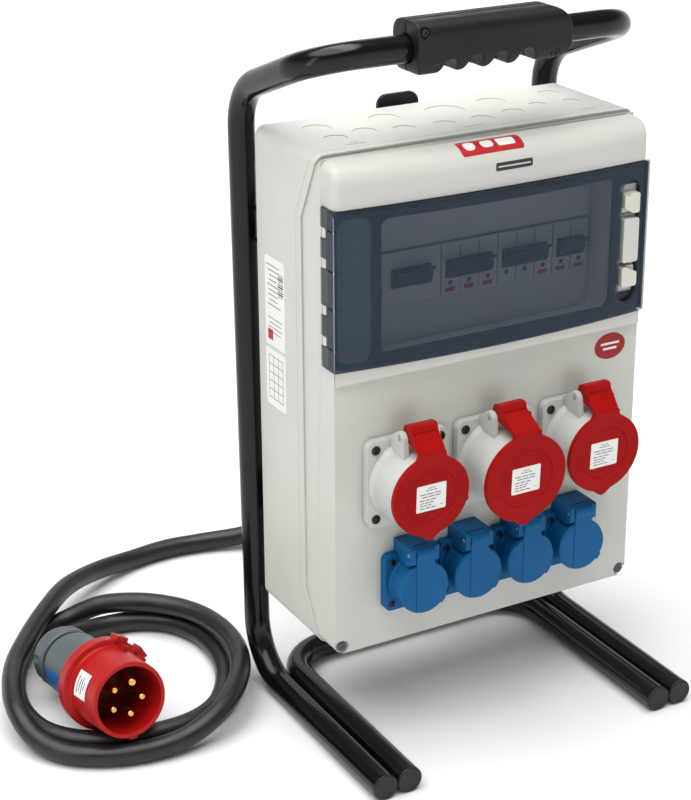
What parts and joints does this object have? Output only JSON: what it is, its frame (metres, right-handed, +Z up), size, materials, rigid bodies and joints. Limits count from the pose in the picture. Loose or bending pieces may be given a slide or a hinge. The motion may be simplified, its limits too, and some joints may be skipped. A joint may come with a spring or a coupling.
{
  "type": "portable power distribution box",
  "caption": "Portable power distribution box in a tube carrying stand, with lidded sockets, a breaker row behind a clear door, and a coiled supply lead with plug.",
  "frame": {"origin": "on the floor, midway between the feet in X and midway between the end caps' fronts and the cable hook's back in Y", "axes": "+Z up, the sockets and the door face -Y, +X to the right of someone who faces the front panel"},
  "size_m": [0.535, 0.4805, 0.598],
  "materials": {
    "black_tube": "satin powder coat",
    "black_plastic": "matte",
    "light_grey_plastic": "fine grained satin",
    "gasket_rubber": "matte",
    "smoked_clear": "clear, glossy",
    "clip_plastic": "satin",
    "steel": "brushed",
    "dark_plastic": "satin",
    "blue_plastic": "satin",
    "red_plastic": "satin",
    "breaker_plastic": "satin",
    "cable_rubber": "matte",
    "grey_plastic": "satin",
    "brass": "polished"
  },
  "bodies": {
    "enclosure_and_stand": {"stand_frame": "black_tube", "base_tube": "black_tube", "end_cap_outer_left": "black_plastic", "end_cap_inner_left": "black_plastic", "end_cap_inner_right": "black_plastic", "end_cap_outer_right": "black_plastic", "grip_front": "black_plastic", "grip_rear": "black_plastic", "upper_rail": "black_tube", "lower_rail": "black_tube", "cable_hook": "black_plastic", "rear_case": "light_grey_plastic", "case_gasket": "gasket_rubber", "front_cover": "light_grey_plastic", "module_cover": "light_grey_plastic", "hinge_clip_upper": "clip_plastic", "hinge_clip_lower": "clip_plastic", "din_rail": "steel", "rcd_body": "breaker_plastic", "mcb_1_body": "breaker_plastic", "mcb_2_body": "breaker_plastic", "mcb_3_body": "breaker_plastic", "cable_gland": "grey_plastic", "mains_cable": "cable_rubber", "plug_body": "grey_plastic", "plug_collar": "red_plastic", "plug_contacts": "brass", "industrial_1_housing": "light_grey_plastic", "industrial_1_insert": "dark_plastic", "industrial_1_pin": "steel", "industrial_2_housing": "light_grey_plastic", "industrial_2_insert": "dark_plastic", "industrial_2_pin": "steel", "industrial_3_housing": "light_grey_plastic", "industrial_3_insert": "dark_plastic", "industrial_3_pin": "steel", "household_1_housing": "blue_plastic", "household_1_pin": "steel", "household_2_housing": "blue_plastic", "household_2_pin": "steel", "household_3_housing": "blue_plastic", "household_3_pin": "steel", "household_4_housing": "blue_plastic", "household_4_pin": "steel"},
    "door": {"door": "smoked_clear"},
    "latch_upper": {"latch_upper": "clip_plastic"},
    "latch_lower": {"latch_lower": "clip_plastic"},
    "rcd_lever": {"rcd_lever": "dark_plastic"},
    "rcd_test_button": {"rcd_test_button": "blue_plastic"},
    "mcb_1_lever": {"mcb_1_lever": "dark_plastic"},
    "mcb_2_lever": {"mcb_2_lever": "dark_plastic"},
    "mcb_3_lever": {"mcb_3_lever": "dark_plastic"},
    "industrial_1_lid": {"industrial_1_lid": "red_plastic"},
    "industrial_2_lid": {"industrial_2_lid": "red_plastic"},
    "industrial_3_lid": {"industrial_3_lid": "red_plastic"},
    "household_1_lid": {"household_1_lid": "blue_plastic"},
    "household_2_lid": {"household_2_lid": "blue_plastic"},
    "household_3_lid": {"household_3_lid": "blue_plastic"},
    "household_4_lid": {"household_4_lid": "blue_plastic"}
  },
  "joints": [
    {"name": "door_hinge", "type": "hinge", "parent": "enclosure_and_stand", "child": "door", "pos_m": [-0.144, -0.037, 0.4017], "axis": [0, 0, -1], "range_deg": [0, 110]},
    {"name": "latch_upper_slide", "type": "slide", "parent": "enclosure_and_stand", "child": "latch_upper", "axis": [0, 0, -1], "range_m": [0, 0.0035], "stiffness_N_per_m": 300, "springref_m": -0.003},
    {"name": "latch_lower_slide", "type": "slide", "parent": "enclosure_and_stand", "child": "latch_lower", "axis": [0, 0, 1], "range_m": [0, 0.0035], "stiffness_N_per_m": 300, "springref_m": -0.003},
    {"name": "rcd_lever_hinge", "type": "hinge", "parent": "enclosure_and_stand", "child": "rcd_lever", "pos_m": [-0.0628, -0.023, 0.395], "axis": [1, 0, 0], "range_deg": [0, 58]},
    {"name": "rcd_test_button_slide", "type": "slide", "parent": "enclosure_and_stand", "child": "rcd_test_button", "axis": [0, 1, 0], "range_m": [0, 0.0015], "stiffness_N_per_m": 500, "springref_m": -0.002},
    {"name": "mcb_1_lever_hinge", "type": "hinge", "parent": "enclosure_and_stand", "child": "mcb_1_lever", "pos_m": [-0.0091, -0.023, 0.395], "axis": [1, 0, 0], "range_deg": [0, 58]},
    {"name": "mcb_2_lever_hinge", "type": "hinge", "parent": "enclosure_and_stand", "child": "mcb_2_lever", "pos_m": [0.0443, -0.023, 0.395], "axis": [1, 0, 0], "range_deg": [0, 58]},
    {"name": "mcb_3_lever_hinge", "type": "hinge", "parent": "enclosure_and_stand", "child": "mcb_3_lever", "pos_m": [0.089, -0.023, 0.395], "axis": [1, 0, 0], "range_deg": [0, 58]},
    {"name": "industrial_1_lid_hinge", "type": "hinge", "parent": "enclosure_and_stand", "child": "industrial_1_lid", "pos_m": [-0.0823, -0.072, 0.2807], "axis": [-1, 0, 0], "range_deg": [0, 100], "stiffness_Nm_per_rad": 0.06, "springref_deg": -45.84},
    {"name": "industrial_2_lid_hinge", "type": "hinge", "parent": "enclosure_and_stand", "child": "industrial_2_lid", "pos_m": [0.001, -0.072, 0.2807], "axis": [-1, 0, 0], "range_deg": [0, 100], "stiffness_Nm_per_rad": 0.06, "springref_deg": -45.84},
    {"name": "industrial_3_lid_hinge", "type": "hinge", "parent": "enclosure_and_stand", "child": "industrial_3_lid", "pos_m": [0.0843, -0.072, 0.2807], "axis": [-1, 0, 0], "range_deg": [0, 100], "stiffness_Nm_per_rad": 0.06, "springref_deg": -45.84},
    {"name": "household_1_lid_hinge", "type": "hinge", "parent": "enclosure_and_stand", "child": "household_1_lid", "pos_m": [-0.0782, -0.0745, 0.1768], "axis": [-1, 0, 0], "range_deg": [0, 105], "stiffness_Nm_per_rad": 0.02, "springref_deg": -45.84},
    {"name": "household_2_lid_hinge", "type": "hinge", "parent": "enclosure_and_stand", "child": "household_2_lid", "pos_m": [-0.0266, -0.0745, 0.1768], "axis": [-1, 0, 0], "range_deg": [0, 105], "stiffness_Nm_per_rad": 0.02, "springref_deg": -45.84},
    {"name": "household_3_lid_hinge", "type": "hinge", "parent": "enclosure_and_stand", "child": "household_3_lid", "pos_m": [0.025, -0.0745, 0.1768], "axis": [-1, 0, 0], "range_deg": [0, 105], "stiffness_Nm_per_rad": 0.02, "springref_deg": -45.84},
    {"name": "household_4_lid_hinge", "type": "hinge", "parent": "enclosure_and_stand", "child": "household_4_lid", "pos_m": [0.0766, -0.0745, 0.1768], "axis": [-1, 0, 0], "range_deg": [0, 105], "stiffness_Nm_per_rad": 0.02, "springref_deg": -45.84}
  ]
}
